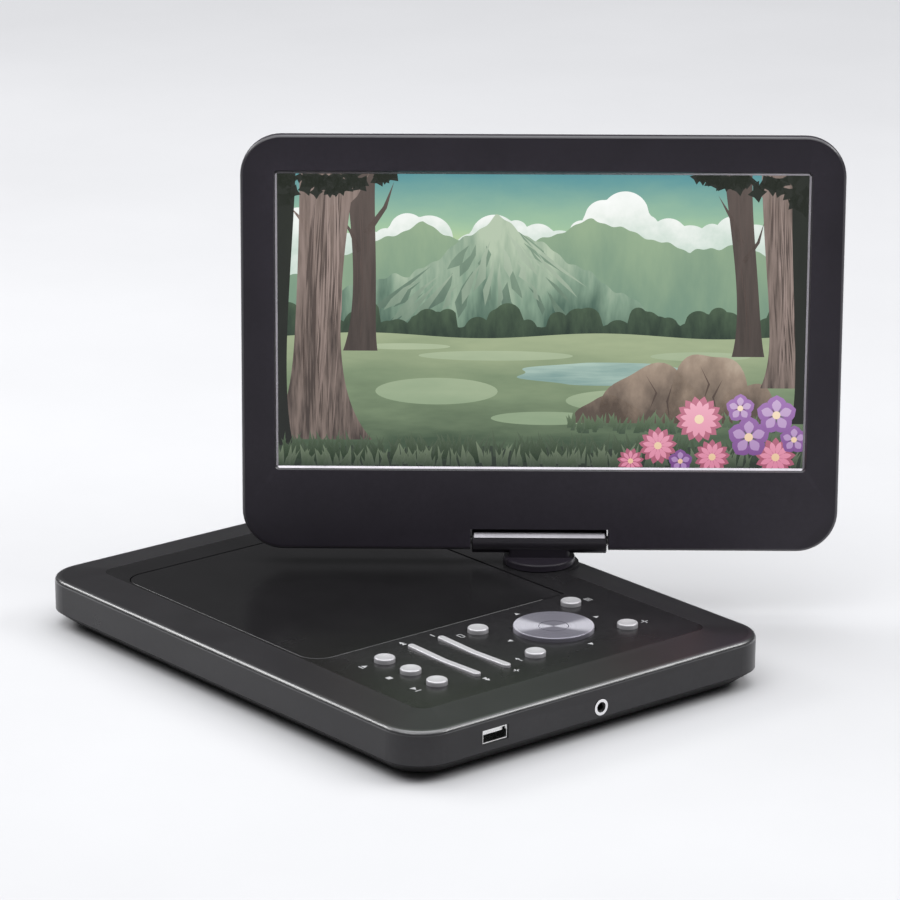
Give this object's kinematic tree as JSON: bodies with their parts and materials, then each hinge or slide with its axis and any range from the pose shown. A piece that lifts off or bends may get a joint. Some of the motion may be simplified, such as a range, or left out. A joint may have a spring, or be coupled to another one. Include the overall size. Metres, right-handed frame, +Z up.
{
  "type": "portable disc player",
  "caption": "Flat portable disc player with a top-loading disc drive, a keypad, side sockets, and a wide screen on a hinge that swivels and tilts.",
  "frame": {"origin": "centre of the base's outline, on the plane the four feet stand on", "axes": "+X to the keypad side (the user's right), +Y to the hinge at the rear, +Z up"},
  "size_m": [0.2654, 0.2893, 0.216],
  "materials": {
    "case_black": "near-black moulded plastic with a fine satin texture",
    "case_under": "black moulded plastic, coarse texture",
    "rubber": "soft black rubber",
    "screw": "blackened steel screws",
    "board": "green circuit board laminate",
    "components": "black chip packages and aluminium cans",
    "dome": "pressed steel snap domes",
    "battery": "blue shrink sleeve",
    "speaker": "black basket and magnet",
    "port_steel": "tin-plated steel",
    "socket": "black socket moulding",
    "bright": "bright metallised plastic",
    "key_silver": "silver metallised key caps",
    "switch": "black switch knob",
    "deck_steel": "zinc-plated steel",
    "damper": "grey soft rubber",
    "motor_steel": "steel motor cans",
    "hub": "black turntable with rubber face",
    "ball_steel": "polished steel",
    "pickup": "black moulded pickup body",
    "lens_frame": "black lens frame",
    "lens": "coated lens",
    "gear": "white acetal",
    "spring_steel": "spring steel",
    "hinge_steel": "plated hinge steel",
    "bezel": "dark grey matte moulded plastic",
    "rear_cover": "dark grey textured plastic",
    "display_glass": "display polariser",
    "display_tray": "pressed display tray"
  },
  "bodies": {
    "base": {"base_bottom_case": "case_under", "base_screws": "screw", "base_top_case": "case_black", "battery_pack": "battery", "board_parts": "components", "card_slot": "port_steel", "dome_switches": "dome", "door_spring": "spring_steel", "headphone_jack": "socket", "headphone_ring": "bright", "hinge_plate": "hinge_steel", "keypad_board": "board", "latch_spring": "spring_steel", "left_sockets": "socket", "loader_chassis": "deck_steel", "loader_dampers": "damper", "main_board": "board", "rubber_feet": "rubber", "sled_motor": "motor_steel", "sled_rods": "ball_steel", "speakers": "speaker", "spindle_motor": "motor_steel", "usb_port": "port_steel"},
    "swivel": {"swivel_bracket": "hinge_steel", "turret_cover": "bezel", "hinge_strip": "bright", "hinge_washers": "spring_steel", "swivel_nut": "hinge_steel"},
    "screen": {"screen_bezel": "bezel", "screen_rear_cover": "rear_cover", "lid_screws": "screw", "display_glass": "display_glass", "display_panel": "display_tray", "display_board": "board", "tilt_arms": "hinge_steel"},
    "door": {"disc_door": "case_black", "door_pins": "ball_steel", "door_catch": "gear"},
    "spindle": {"spindle_hub": "hub", "hub_balls": "ball_steel"},
    "pickup": {"pickup_carriage": "pickup"},
    "lens": {"lens_holder": "lens_frame", "pickup_lens": "lens"},
    "sled_gear": {"sled_pinion": "gear"},
    "latch": {"latch_slider": "gear"},
    "open_key": {"open_key": "key_silver"},
    "nav_carrier": {"nav_carrier": "switch"},
    "nav_ring": {"nav_ring": "key_silver"},
    "ok_key": {"ok_key": "key_silver"},
    "volume_rocker": {"volume_rocker": "key_silver"},
    "skip_rocker": {"skip_rocker": "key_silver"},
    "power_switch": {"power_switch": "switch"},
    "menu_key": {"menu_key": "key_silver"},
    "setup_key": {"setup_key": "key_silver"},
    "source_key": {"source_key": "key_silver"},
    "back_key": {"back_key": "key_silver"},
    "stop_key": {"stop_key": "key_silver"},
    "play_key": {"play_key": "key_silver"}
  },
  "joints": [
    {"name": "screen_swivel", "type": "hinge", "parent": "base", "child": "swivel", "pos_m": [0, 0.0805, 0.0245], "axis": [0, 0, 1], "range_deg": [-140, 130]},
    {"name": "screen_tilt", "type": "hinge", "parent": "swivel", "child": "screen", "pos_m": [0, 0.0805, 0.0345], "axis": [0.6428, 0.766, 0], "range_deg": [-85, 95]},
    {"name": "door_hinge", "type": "hinge", "parent": "base", "child": "door", "pos_m": [-0.029, 0.0589, 0.0234], "axis": [-1, 0, 0], "range_deg": [0, 4], "deforming": ["door_catch"]},
    {"name": "disc_spindle", "type": "hinge", "parent": "base", "child": "spindle", "pos_m": [-0.029, -0.008, 0.0162], "axis": [0, 0, 1], "continuous": true},
    {"name": "sled_slide", "type": "slide", "parent": "base", "child": "pickup", "axis": [0, -1, 0], "range_m": [0, 0.032]},
    {"name": "lens_focus", "type": "slide", "parent": "pickup", "child": "lens", "axis": [0, 0, 1], "range_m": [-0.0005, 0.0005]},
    {"name": "sled_gear_turn", "type": "hinge", "parent": "base", "child": "sled_gear", "pos_m": [-0.0015, -0.048, 0.009], "axis": [0, 0, 1], "range_deg": [0, 328]},
    {"name": "open_key_press", "type": "slide", "parent": "base", "child": "open_key", "axis": [0, 0, -1], "range_m": [0, 0.0015], "stiffness_N_per_m": 60},
    {"name": "latch_slide", "type": "slide", "parent": "base", "child": "latch", "axis": [-1, 0, 0], "range_m": [0, 0.0016], "deforming": ["latch_spring"]},
    {"name": "nav_tilt_up_down", "type": "hinge", "parent": "base", "child": "nav_carrier", "pos_m": [0.0718, 0.027, 0.0203], "axis": [1, 0, 0], "range_deg": [-1.5, 1.5]},
    {"name": "nav_tilt_left_right", "type": "hinge", "parent": "nav_carrier", "child": "nav_ring", "pos_m": [0.0718, 0.027, 0.0203], "axis": [0, 1, 0], "range_deg": [-1.5, 1.5]},
    {"name": "ok_press", "type": "slide", "parent": "base", "child": "ok_key", "axis": [0, 0, -1], "range_m": [0, 0.0005], "stiffness_N_per_m": 60},
    {"name": "volume_rock", "type": "hinge", "parent": "base", "child": "volume_rocker", "pos_m": [0.0735, -0.0187, 0.0208], "axis": [0, 1, 0], "range_deg": [-1.5, 1.5]},
    {"name": "skip_rock", "type": "hinge", "parent": "base", "child": "skip_rocker", "pos_m": [0.0735, -0.035, 0.0208], "axis": [0, 1, 0], "range_deg": [-1.5, 1.5]},
    {"name": "power_slide", "type": "slide", "parent": "base", "child": "power_switch", "axis": [0, 1, 0], "range_m": [0, 0.003]},
    {"name": "menu_press", "type": "slide", "parent": "base", "child": "menu_key", "axis": [0, 0, -1], "range_m": [0, 0.0005], "stiffness_N_per_m": 60},
    {"name": "setup_press", "type": "slide", "parent": "base", "child": "setup_key", "axis": [0, 0, -1], "range_m": [0, 0.0005], "stiffness_N_per_m": 60},
    {"name": "source_press", "type": "slide", "parent": "base", "child": "source_key", "axis": [0, 0, -1], "range_m": [0, 0.0005], "stiffness_N_per_m": 60},
    {"name": "back_press", "type": "slide", "parent": "base", "child": "back_key", "axis": [0, 0, -1], "range_m": [0, 0.0005], "stiffness_N_per_m": 60},
    {"name": "stop_press", "type": "slide", "parent": "base", "child": "stop_key", "axis": [0, 0, -1], "range_m": [0, 0.0005], "stiffness_N_per_m": 60},
    {"name": "play_press", "type": "slide", "parent": "base", "child": "play_key", "axis": [0, 0, -1], "range_m": [0, 0.0005], "stiffness_N_per_m": 60}
  ],
  "couplings": [
    {"joint": "sled_gear_turn", "follows": "sled_slide", "rad_per_m": 178.57},
    {"joint": "latch_slide", "follows": "open_key_press", "ratio": 1}
  ]
}
